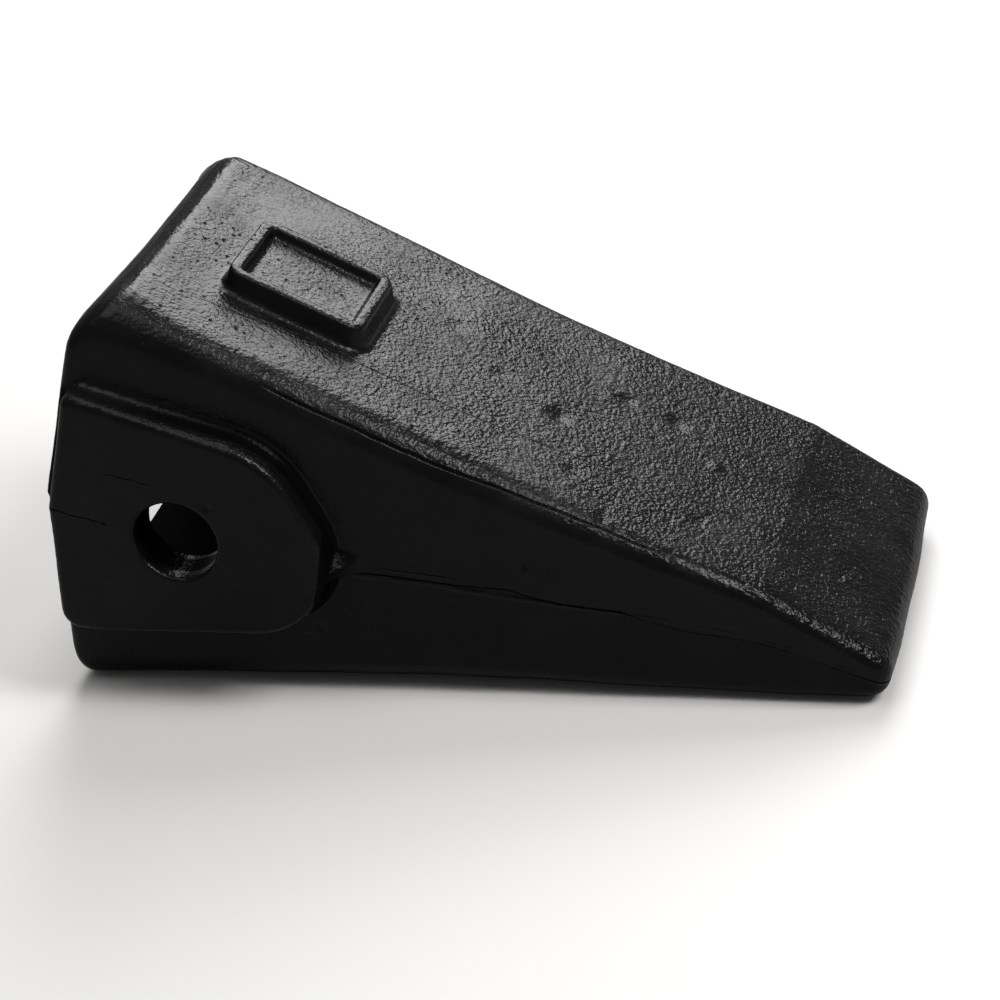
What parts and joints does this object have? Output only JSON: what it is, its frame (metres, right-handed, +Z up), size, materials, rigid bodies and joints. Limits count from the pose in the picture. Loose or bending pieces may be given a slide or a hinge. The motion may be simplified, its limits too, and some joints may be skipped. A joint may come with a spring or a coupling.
{
  "type": "bucket tooth",
  "caption": "Wedge-shaped cast digging tooth with a tapered socket, pin holes through its two side ears and a raised plate on its sloping upper face.",
  "frame": {"origin": "centre of the bounding box's bottom face, on the surface that the tooth rests on", "axes": "+X from the socket's mouth toward the cutting edge, +Y across the tooth along the pin holes, +Z up"},
  "size_m": [0.2256, 0.124, 0.1159],
  "materials": {
    "black_paint": "semi-gloss black paint over a sand-cast skin"
  },
  "bodies": {
    "root": {"bucket_tooth": "black_paint"}
  },
  "joints": []
}
